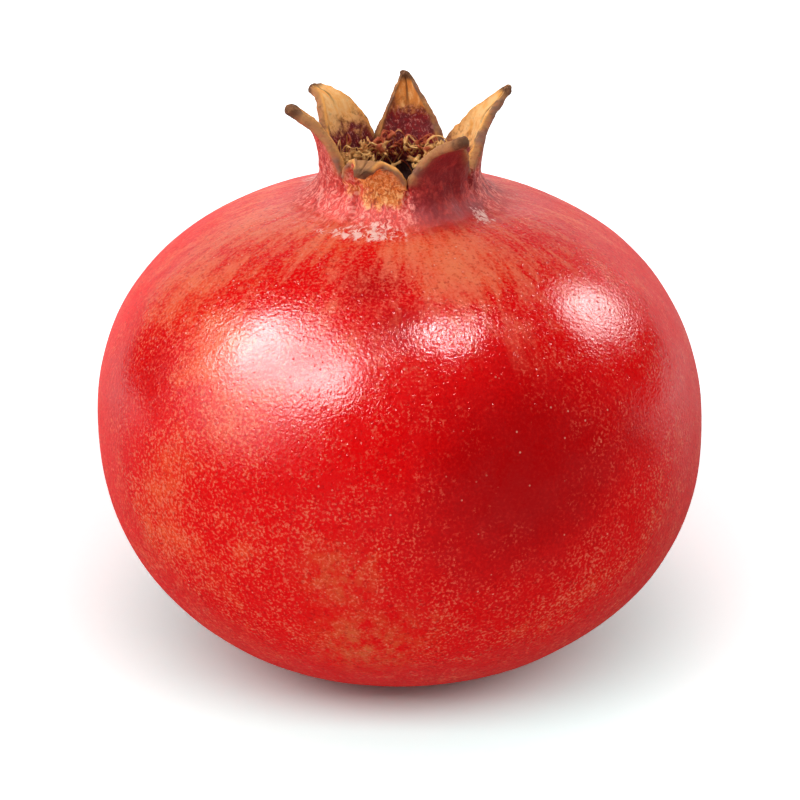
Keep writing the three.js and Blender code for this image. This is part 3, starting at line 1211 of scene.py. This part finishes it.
    def lining(self, graph: Graph, at: RindPattern) -> Value:
        """Mixes the colour of the calyx's inside: wine red at the root with painted pink glints, dried to a
        tan that is painted paler, with painted shade darkening it down into the throat.

        Args:
            graph: the material's nodes.
            at: the pattern at each point.

        Returns:
            The colour.
        """
        wet = graph.mix(self.wine, self.crimson, graph.rise(at.veins, 0.42, 0.62))
        # painted highlight: pink glints on the dark root, laid by the hair pattern
        wet = graph.mix(wet, self.blush, graph.rise(at.hair, 0.53, 0.65, 0.0, 0.4))
        # partly painted light: the tan and straw here are brighter than the lining's own colour
        dry = graph.mix(self.sienna, self.tan, graph.rise(at.tint + at.fibres - 0.5, 0.2, 0.7))
        dried = graph.rise(at.up * 1.25 + swing(at.tint, 0.7) + swing(at.blots, 0.9), 0.36, 0.68)
        inner = graph.mix(wet, dry, dried)
        bleached = graph.rise(at.fibres + (at.veins - 0.5) + at.tint * 0.3, 0.55, 0.9) * dried
        inner = graph.mix(inner, self.straw, bleached)
        inner = graph.mix(inner, self.knob, graph.rise(at.veins, 0.58, 0.72, 0.0, 0.35))
        inner = graph.mix(inner, self.rim, graph.rise(at.tint, 0.22, 0.12))
        # painted shade: the inside turns near black from just under the rim down into the throat
        depth = graph.rise(at.z, self.neck.rim - 0.6, self.neck.rim - 3.0, 0.0, 0.94)
        return graph.mix(inner, self.hollow, depth)

    def calyx(self, graph: Graph, at: RindPattern) -> Value:
        """Joins the calyx's two sides and adds the ridges, the dry edges and the blunt tips.

        Args:
            graph: the material's nodes.
            at: the pattern at each point.

        Returns:
            The colour.
        """
        calyx = graph.mix(self.outside(graph, at), self.lining(graph, at), graph.rise(at.inside, 0.35, 0.9))
        ridge = graph.rise(at.side + swing(at.fibres, 0.2), 0.14, 0.02)
        ridge = ridge * graph.rise(at.up, 0.45, 0.75) * at.inside
        calyx = graph.mix(calyx, self.knob, ridge * 0.75)
        edge = at.side ** (at.inside * 10.0 + 6.0) * graph.rise(at.up + swing(at.blots, 0.2), 0.02, 0.16)
        band = graph.mix(self.rim, self.tan, graph.rise(at.tint * at.inside - at.up * 0.3, 0.0, 0.5))
        ash = graph.rise(at.broad + at.tint * (1.0 - at.inside) * 0.12, 0.48, 0.62, 0.0, 0.85)
        band = graph.mix(band, self.ashen, ash)
        band = graph.mix(band, self.knob, graph.rise(at.veins, 0.5, 0.7, 0.0, 0.6))
        calyx = graph.mix(calyx, band, edge * graph.rise(at.hair, 0.3, 0.6, 0.7, 1.0))
        tip = graph.mix(self.knob, self.rim, graph.rise(at.veins, 0.45, 0.7, 0.0, 0.5))
        return graph.mix(calyx, tip, graph.rise(at.up + swing(at.blots, 0.12), 0.85, 0.96))

    def frost_and_sheen_mask(self, graph: Graph, at: RindPattern) -> Value:
        """Where pale frost and a painted sheen lie round the neck's foot.

        Args:
            graph: the material's nodes.
            at: the pattern at each point.

        Returns:
            The mask, from 0 to 1.
        """
        frost_and_sheen_patches = self.patches(graph, at.place, self.frost_and_sheen_spots) * graph.rise(at.z, *self.frost_and_sheen_line)
        frost_and_sheen = graph.rise(frost_and_sheen_patches + swing(at.hair, 2.4) + swing(at.veins, 2.0), 0.4, 1.0)
        return frost_and_sheen * graph.rise(frost_and_sheen_patches, 0.05, 0.35)

    def relief(self, graph: Graph, at: RindPattern) -> Value:
        """Adds the skin's fine wrinkles and pits and the calyx's rough fibres.

        Args:
            graph: the material's nodes.
            at: the pattern at each point.

        Returns:
            The normal.
        """
        wrinkles = graph.noise(at.place, 0.5, 3, 0.5)
        swell = graph.noise(at.place, 6.0, 2)
        pit = graph.rise(graph.cells(at.place, self.pit_spacing), 0.22, 0.06)
        fine = wrinkles * graph.rise(swell, 0.35, 0.65, 0.06, 0.1) - pit * 0.04
        rough_hair = at.hair * 0.16 + at.fibres * 0.1 + at.veins * 0.14
        return graph.bump(fine * (1.0 - at.on_neck) + rough_hair * at.on_neck + swell * 0.06, 1.0)

    def roughness(self, graph: Graph, at: RindPattern) -> Value:
        """Makes the skin glossy, less so where it is seen aslant, and the calyx matt.

        Args:
            graph: the material's nodes.
            at: the pattern at each point.

        Returns:
            The roughness.
        """
        aslant = graph.add("LayerWeight", None, {"Blend": 0.5}, "Facing")
        gloss = graph.rise(at.broad, 0.3, 0.7, 0.12, 0.18) + graph.rise(aslant, 0.45, 0.88, 0.0, 0.38)
        matt = graph.rise(at.up + at.inside, 0.0, 0.6, 0.5, 0.85)
        return gloss * (1.0 - at.on_neck) + matt * at.on_neck

    def material(self) -> bpy.types.Material:
        """Makes the material.

        Returns:
            The rind's material.
        """
        material, graph = new_material("rind")
        at = RindPattern(graph, self)
        colour = graph.mix(self.skin(graph, at), self.calyx(graph, at), at.on_neck)
        # pale frost and painted sheen laid over the neck's foot
        frost_and_sheen = self.frost_and_sheen_mask(graph, at) * (1.0 - at.inside) * 0.85
        graph.surface({
            "Base Color": graph.mix(colour, self.frost_and_sheen, frost_and_sheen),
            "Roughness": self.roughness(graph, at),
            "IOR": self.refraction,
            "Normal": self.relief(graph, at),
        })
        return material


# ---- stamens, style and stalk ---------------------------------------------------------------------


@dataclass(frozen=True)
class DryFinish:
    """Dry, fibrous plant matter in two colours."""

    name: str
    light: Colour
    dark: Colour
    grain: float  # size of its mottling, in millimetres
    relief: float = 0.05
    roughness: float = 0.78
    flush: Colour | None = None  # of the pieces of it that are still fresh
    rim: float = Neck().rim
    spread: float = 0.1  # how far the roughness goes either way
    refraction: float = 1.4

    def material(self) -> bpy.types.Material:
        """Makes the material.

        Returns:
            The material, redder towards the back and the top where it has a flush.
        """
        material, graph = new_material(self.name)
        place = graph.place_mm()
        cloud = graph.noise(place, self.grain * 4, 2)
        mottle = graph.noise(place, self.grain, 4, 0.65)
        share = graph.rise(cloud * 0.9 + mottle * 0.7, 0.5, 1.05)
        colour = graph.mix(self.dark, self.light, share)
        if self.flush:
            _, y, z = graph.axes(place)
            fresh = graph.rise(graph.noise(place, 2.4, 1) + y * 0.035 + (z - self.rim) * 0.04, 0.728, 0.848)
            colour = graph.mix(colour, self.flush, fresh * 0.85)
        least, most = self.roughness - self.spread, self.roughness + self.spread
        graph.surface({
            "Base Color": colour,
            "Roughness": graph.rise(mottle, 0.3, 0.7, least, most),
            "IOR": self.refraction,
            "Normal": graph.bump(mottle, self.relief),
        })
        return material


@dataclass(frozen=True)
class Tier:
    """One ring of stamens round the throat."""

    name: str
    nodes: tuple[int, int]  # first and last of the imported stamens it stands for
    count: int
    root: float  # how far under the rim they grow
    reach: float  # how far from the axis they end
    lift: float  # how far over the rim they end
    turn: float  # degrees between root and end


@dataclass(frozen=True)
class Anther:
    """The shrivelled, twisted end of one thread."""

    start: float  # the share of the thread's length where it begins
    width: float
    thickness: float
    twist: float  # radians from its start to its end
    notch: float  # where its waves begin, in radians
    thread: float = 0.11  # half the thread's thickness
    thinnest: float = 0.09

    def section(self, place: float) -> tuple[float, float, float]:
        """The thread's cross-section.

        Args:
            place: the share of the thread's length.

        Returns:
            The width, the thickness and the twist in radians.
        """
        along = (place - self.start) / (1 - self.start)
        if along <= 0:
            return self.thread, self.thread, 0.0
        swell = math.sin(math.pi * min(along, 0.9)) ** 0.5 * (1 + 0.5 * math.sin(17 * along + self.notch))
        end = 1 - smooth(place, 0.93, 1.0)
        width = max(self.width * swell, self.thread) * end
        return width, max(self.thickness * swell, self.thinnest) * end, self.twist * along


@dataclass
class Stamens:
    """The dried stamens: thin threads that curl over into shrivelled, twisted anthers."""

    neck: Neck = field(default_factory=Neck)
    tiers: tuple[Tier, ...] = (
        Tier("stamens_upper", (1, 16), 62, 1.2, 8.4, 1.6, 15),
        Tier("stamens_middle", (17, 32), 60, 2.4, 7.2, 0.8, -16),
        Tier("stamens_lower", (33, 48), 36, 4.2, 6.2, -0.8, 17),
    )
    finish: DryFinish = DryFinish(
        "dried_stamen", (1.0, 0.62, 0.23), (0.52, 0.20, 0.055), 0.5, flush=(0.42, 0.035, 0.02)
    )
    rows: int = 16
    sides: int = 5
    seed: int = 21
    front_drop: float = 2.4  # how much lower the front ones lie
    sunk: float = 0.2  # how far into the wall they are rooted
    narrowing: float = 0.12  # how much narrower the throat is for each millimetre down

    def path(self, tier: Tier, draw: random.Random, angle: float) -> list[Vector]:
        """The curve that one stamen follows, from its root in the wall.

        Args:
            tier: the tier that it grows in.
            draw: the source of its random strays.
            angle: where it grows, in radians round the throat.

        Returns:
            The points that it passes.
        """
        rim = self.neck.rim
        front = smooth(-math.sin(angle - 0.15), -0.1, 0.75)
        root = rim - tier.root + draw.uniform(-0.5, 0.5) - front * self.front_drop * 0.5
        start = self.neck.inner - self.sunk - self.narrowing * max(rim - root - 2, 0)
        reach = tier.reach + draw.uniform(-1.4, 1.0) + front * 0.8
        end = rim + tier.lift + draw.uniform(-1.0, 1.0) - front * self.front_drop
        turn = math.radians(tier.turn * draw.uniform(0.2, 1.8))
        top = end + draw.uniform(-0.2, 0.7)
        stops = (  # the way inwards, the height and the way round
            (0.0, root, 0.0),
            (0.3, (root + top) / 2, 0.25),
            (0.65, top, 0.6),
            (0.85, blend(top, end, 0.6), 0.85),
            (1.0, end - draw.uniform(0.0, 0.8), 1.1),
            (1.0, end - draw.uniform(0.2, 1.0), 1.3),
        )
        points = []
        for inwards, height, share in stops:
            radius = blend(start, reach, inwards)
            heading = angle + turn * share
            point = Vector((radius * math.cos(heading), radius * math.sin(heading), height))
            if inwards > 0:
                stray = 0.3 + 0.6 * smooth(share, 0.6, 1.1)
                point += Vector([draw.uniform(-stray, stray) for _ in range(3)])
            points.append(point)
        return points

    def build(self) -> list[tuple[bpy.types.Object, list[str]]]:
        """Makes one piece for each tier.

        Returns:
            Each piece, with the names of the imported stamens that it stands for.
        """
        pieces = []
        draw = random.Random(self.seed)
        for tier in self.tiers:
            mesh = bmesh.new()
            for index in range(tier.count):
                angle = math.tau * (index + draw.uniform(-0.3, 0.3)) / tier.count
                anther = Anther(
                    draw.uniform(0.45, 0.62), draw.uniform(0.3, 0.6), draw.uniform(0.08, 0.18),
                    draw.uniform(-5, 5), draw.uniform(0, math.tau),
                )
                add_tube(mesh, self.path(tier, draw, angle), self.rows, self.sides, anther.section)
            first, last = tier.nodes
            names = [f"stamen_{number:02d}" for number in range(first, last + 1)]
            pieces.append((finish_mesh(mesh, tier.name), names))
        return pieces

    def dressed(self) -> list[bpy.types.Object]:
        """Makes the stamens in their finish."""
        material = self.finish.material()
        return [dress(piece, material, nodes) for piece, nodes in self.build()]


@dataclass
class Style:
    """The dried stub of the style, bent over in the middle of the throat."""

    finish: DryFinish = DryFinish("dried_style", (0.50, 0.30, 0.14), (0.16, 0.07, 0.03), 0.4)
    height: float = 2.4
    lean: float = 1.9  # how far it bends over
    heading: float = -32.0  # degrees
    radius: float = 0.35
    stigma: float = 0.55  # radius of its thicker end
    lift: float = 0.05  # how far over the foot of its solid it stands
    bends: tuple[tuple[float, float], ...] = ((0.0, 0.0), (0.1, 0.5), (0.5, 0.85), (1.0, 1.0))
    cap: float = 0.9  # the share of its length where its round end begins
    rows: int = 26
    sides: int = 14

    def section(self, place: float) -> tuple[float, float, float]:
        """The style's cross-section, closed at the foot and rounded at the stigma.

        Args:
            place: the share of its length.

        Returns:
            The width, the thickness and the twist in radians.
        """
        width = blend(self.radius, self.stigma, smooth(place, 0.7, self.cap))
        past_cap = max(place - self.cap, 0) / (1 - self.cap)
        closing = math.sqrt(max(1 - past_cap**2, 0))
        opening = 0.0 if place == 0 else 1.0
        width *= closing * opening * (1 + 0.12 * math.sin(place * 37))
        return width, width * 0.85, place * 1.5

    def build(self) -> bpy.types.Object:
        """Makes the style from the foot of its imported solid.

        Returns:
            The piece.
        """
        low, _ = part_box("style")
        foot = Vector((0, 0, low[2] / MM + self.lift))
        ahead = towards(self.heading, 0) * self.lean
        path = [foot + ahead * out + Vector((0, 0, self.height * up)) for out, up in self.bends]
        mesh = bmesh.new()
        add_tube(mesh, path, self.rows, self.sides, self.section)
        return finish_mesh(mesh, "dried_style")

    def dressed(self) -> list[bpy.types.Object]:
        """Makes the style in its finish."""
        return [dress(self.build(), self.finish.material(), ["style"])]


@dataclass
class Stalk:
    """The cut end of the stalk, recessed in the dimple under the fruit."""

    finish: DryFinish = DryFinish("stalk_bark", (0.30, 0.19, 0.11), (0.09, 0.055, 0.03), 0.5, 0.12, 0.85)
    bark: float = 0.09  # how far the bark's ridges stand out
    dish: float = 0.16  # how deep the cut end is hollowed
    chamfer: float = 0.2
    shares: tuple[float, ...] = (0, 0.25, 0.5, 0.75, 0.9)  # where its rings lie
    steps: int = 72

    def build(self) -> bpy.types.Object:
        """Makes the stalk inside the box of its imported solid.

        Returns:
            The piece.
        """
        low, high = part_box("stalk_end")
        radius = (high[0] - low[0]) / 2 / MM - self.bark
        bottom, top = low[2] / MM, high[2] / MM
        profile = [Vector((radius * share, bottom + self.dish * (1 - share))) for share in self.shares]
        heights = (bottom + self.chamfer, blend(bottom, top, 0.6), top)
        profile += [Vector((radius, height)) for height in heights]
        profile.append(Vector((0, top)))
        mesh = bmesh.new()
        for vert in add_turned(mesh, profile, self.steps, 0.0):
            angle = math.atan2(vert.co.y, vert.co.x)
            share = math.hypot(vert.co.x, vert.co.y) / radius
            ridges = math.sin(11 * angle) + 0.6 * math.sin(23 * angle + 1)
            scale = 1 + self.bark / radius * ridges / 1.6 * smooth(share, 0.7, 1.0)
            vert.co.x *= scale
            vert.co.y *= scale
        return finish_mesh(mesh, "stalk_cut_end")

    def dressed(self) -> list[bpy.types.Object]:
        """Makes the stalk in its bark."""
        return [dress(self.build(), self.finish.material(), ["stalk_end"])]


# ---- studio ---------------------------------------------------------------------------------------


class Lights(Enum):
    """What a lamp lights: the fruit, or the floor and the fruit's shadow on it."""

    FRUIT = "fruit"
    FLOOR = "floor"


@dataclass(frozen=True)
class SoftBox:
    """A rectangular lamp that faces the fruit."""

    name: str
    angle: float  # degrees round the fruit
    height: float  # degrees over the horizon
    width: float  # metres
    tall: float
    power: float
    lights: Lights
    distance: float = 1.2

    def build(self, target: Vector) -> bpy.types.Object:
        """Makes the lamp.

        Args:
            target: the point that it faces, in metres.

        Returns:
            The lamp.
        """
        lamp = bpy.data.lights.new(self.name, "AREA")
        lamp.shape = "RECTANGLE"
        lamp.size, lamp.size_y = self.width, self.tall
        lamp.energy = self.power
        box = bpy.data.objects.new(self.name, lamp)
        away = towards(self.angle, self.height)
        box.location = target + away * self.distance
        box.rotation_euler = away.to_track_quat("Z", "Y").to_euler()
        box.visible_camera = False
        box.visible_glossy = False
        bpy.context.scene.collection.objects.link(box)
        return box


@dataclass(frozen=True)
class Glow:
    """A bright window with soft edges in the surroundings, for the fruit's gloss to mirror."""

    name: str
    angle: float  # degrees round the fruit
    height: float  # degrees over the horizon
    width: float  # half its width and height, as seen from one unit away
    tall: float
    level: float
    soft: float = 0.5  # the share of its size over which it fades
    square: float = 2.0  # 2 for an ellipse, more for a rounded rectangle

    def shine(self, graph: Graph, heading: Value) -> Value:
        """How bright it is in a direction.

        Args:
            graph: the world's nodes.
            heading: the direction, one unit long.

        Returns:
            The brightness.
        """
        aside = towards(self.angle + 90, 0) / self.width
        above = towards(self.angle, self.height + 90) / self.tall
        across = graph.dot(heading, tuple(aside))
        along = graph.dot(heading, tuple(above))
        facing = graph.rise(graph.dot(heading, tuple(towards(self.angle, self.height))), 0.1, 0.4)
        away = (graph.size(across) ** self.square + graph.size(along) ** self.square) ** (1 / self.square)
        return graph.rise(away, 1 + self.soft, 1 - self.soft, 0.0, self.level) * facing


@dataclass
class Studio:
    """The pale floor, the lamps, the pale surroundings and the camera."""

    body: Body = field(default_factory=Body)
    camera_distance: float = 0.45
    camera_angle: float = 270.0
    camera_height: float = 22.08  # degrees over the horizon
    sensor: float = 36.0
    lens: float = 128.25
    shift: float = 0.02625
    glows: tuple[Glow, ...] = (
        Glow("left_window", 205, 51, 0.42, 0.32, 9, 0.15, 3.0),
        Glow("left_core", 180, 51, 0.16, 0.18, 16, 0.75),
        Glow("left_second", 232, 50, 0.12, 0.18, 14.5, 0.8),
        Glow("left_fade", 203, 26, 0.4, 0.3, 3.0, 0.9),
        Glow("top_window", 325, 72, 0.09, 0.1, 49, 0.35),
        Glow("right_window", 30, 33, 0.14, 0.16, 16, 0.7),
        Glow("horizon", 90, 4, 0.17, 0.34, 1.3, 0.8),
    )
    boxes: tuple[SoftBox, ...] = (
        SoftBox("key", 204, 24, 1.2, 1.2, 8.4, Lights.FRUIT),
        SoftBox("overhead", 240, 80, 1.2, 1.2, 6.2, Lights.FRUIT),
        SoftBox("front", 290, 56, 1.2, 1.2, 0.8, Lights.FRUIT),
        SoftBox("fill", 10, 12, 1.2, 1.2, 3.8, Lights.FRUIT),
        SoftBox("floor_light", 267, 46, 2.8, 0.6, 16, Lights.FLOOR),
    )
    surroundings: float = 0.36
    backdrop: float = 0.85  # how bright the surroundings behind the fruit show in its gloss
    # painted shade and tint: close to the fruit the floor is seen darker and less red than round it, which
    # deepens its shadow and takes out the fruit's red light on it
    floor_near_shaded: Colour = (1.0, 1.53, 1.51)  # the floor as seen close to the fruit
    floor_round: Colour = (1.69, 1.735, 1.735)  # and round its shadow
    floor_far: Colour = (5.0, 5.0, 5.0)  # brighter than white far off, so that it has no horizon
    floor_bounce: Colour = (1.0, 0.97, 0.97)  # what its light on the fruit is made of
    # painted reflection: in the fruit's gloss the floor shows as if shaded in front and brighter than white
    # behind
    mirror_front_shade: Colour = (0.05, 0.05, 0.05)  # how the floor shows in the fruit's gloss
    mirror_back_light: Colour = (1.3, 1.3, 1.3)
    floor_size: float = 12.0  # metres
    near_to_round: tuple[float, float] = (30, 72)  # distances on the floor, in millimetres
    round_to_far: tuple[float, float] = (60, 1000)
    front_to_back: tuple[float, float] = (-30, 240)

    def build_camera(self, target: Vector) -> None:
        """Makes the camera and gives it to the scene.

        Args:
            target: the point that it faces, in metres.
        """
        data = bpy.data.cameras.new("camera")
        data.lens, data.sensor_width, data.shift_y = self.lens, self.sensor, self.shift
        data.clip_start, data.clip_end = 0.01, 100.0
        camera = bpy.data.objects.new("camera", data)
        away = towards(self.camera_angle, self.camera_height)
        camera.location = target + away * self.camera_distance
        camera.rotation_euler = away.to_track_quat("Z", "Y").to_euler()
        bpy.context.scene.collection.objects.link(camera)
        bpy.context.scene.camera = camera

    def build_world(self) -> None:
        """Makes pale surroundings that are darker in front, where the camera stands."""
        world = bpy.data.worlds.new("studio")
        bpy.context.scene.world = world
        world.use_nodes = True
        graph = Graph(world.node_tree)
        heading = graph.add("TexCoord", output="Generated")
        _, y, z = graph.axes(heading)
        gloss, seen = graph.several("LightPath", None, None, ("Is Glossy Ray", "Is Camera Ray"))
        behind = graph.rise(y, 0.55, 1.0) * graph.rise(z, 0.98, 0.6)
        mirrored = behind * self.backdrop
        for glow in self.glows:
            mirrored = mirrored + glow.shine(graph, heading)
        level = gloss * mirrored + seen + (1.0 - gloss - seen) * self.surroundings
        shade = graph.add("Background", None, {"Color": (1.0, 1.0, 1.0), "Strength": level})
        graph.add("OutputWorld", None, {"Surface": shade})

    def build_floor(self) -> bpy.types.Object:
        """Makes the floor that the fruit stands on.

        Returns:
            The floor.
        """
        mesh = bmesh.new()
        bmesh.ops.create_grid(mesh, x_segments=8, y_segments=8, size=self.floor_size / 2 / MM)
        floor = finish_mesh(mesh, "floor")
        material, graph = new_material("floor")
        is_gloss, is_seen = graph.several("LightPath", None, None, ("Is Glossy Ray", "Is Camera Ray"))
        place = graph.place_mm()
        away = graph.length(place)
        # painted shade near the fruit, fading into the even floor further off
        seen = graph.mix(self.floor_near_shaded, self.floor_round, graph.rise(away, *self.near_to_round))
        seen = graph.mix(seen, self.floor_far, graph.rise(away, *self.round_to_far))
        _, behind, _ = graph.axes(place)
        behind_fruit = graph.rise(behind, *self.front_to_back)
        # painted reflection: darker in front of the fruit, brighter behind it
        mirrored = graph.mix(self.mirror_front_shade, self.mirror_back_light, behind_fruit)
        colour = graph.mix(graph.mix(self.floor_bounce, mirrored, is_gloss), seen, is_seen)
        graph.add("OutputMaterial", None, {"Surface": graph.add("BsdfDiffuse", None, {"Color": colour})})
        floor.data.materials.append(material)
        return floor

    def build(self, pieces: Sequence[bpy.types.Object]) -> None:
        """Makes everything that isn't the fruit.

        Args:
            pieces: the fruit's pieces, which some lamps light alone.
        """
        bpy.context.scene.view_settings.view_transform = "Standard"
        target = Vector((0, 0, self.body.equator * MM))
        self.build_camera(target)
        self.build_world()
        lit = {Lights.FRUIT: pieces, Lights.FLOOR: [self.build_floor()]}
        receivers = {}
        for lights, objects in lit.items():
            receivers[lights] = bpy.data.collections.new(f"lit_{lights.value}")
            for piece in objects:
                receivers[lights].objects.link(piece)
        for box in self.boxes:
            box.build(target).light_linking.receiver_collection = receivers[box.lights]


# ---- assembly -------------------------------------------------------------------------------------


def dress(
    piece: bpy.types.Object, material: bpy.types.Material, nodes: Sequence[str]
) -> bpy.types.Object:
    """Gives a piece its finish and its place in the frame.

    Args:
        piece: the new piece.
        material: its material.
        nodes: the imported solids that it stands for.

    Returns:
        The piece.
    """
    piece.data.materials.append(material)
    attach(piece, "root")
    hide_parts(*nodes)
    return piece


def main() -> None:
    """Builds the fruit's pieces and the studio in order."""
    logging.basicConfig(level=logging.INFO, format="%(name)s: %(message)s")
    pieces: list[bpy.types.Object] = []
    for part in (Fruit(), Stamens(), Style(), Stalk()):
        for piece in part.dressed():
            LOG.info("%s: %d faces", piece.name, len(piece.data.polygons))
            pieces.append(piece)
    Studio().build(pieces)


if __name__ == "__main__":
    main()
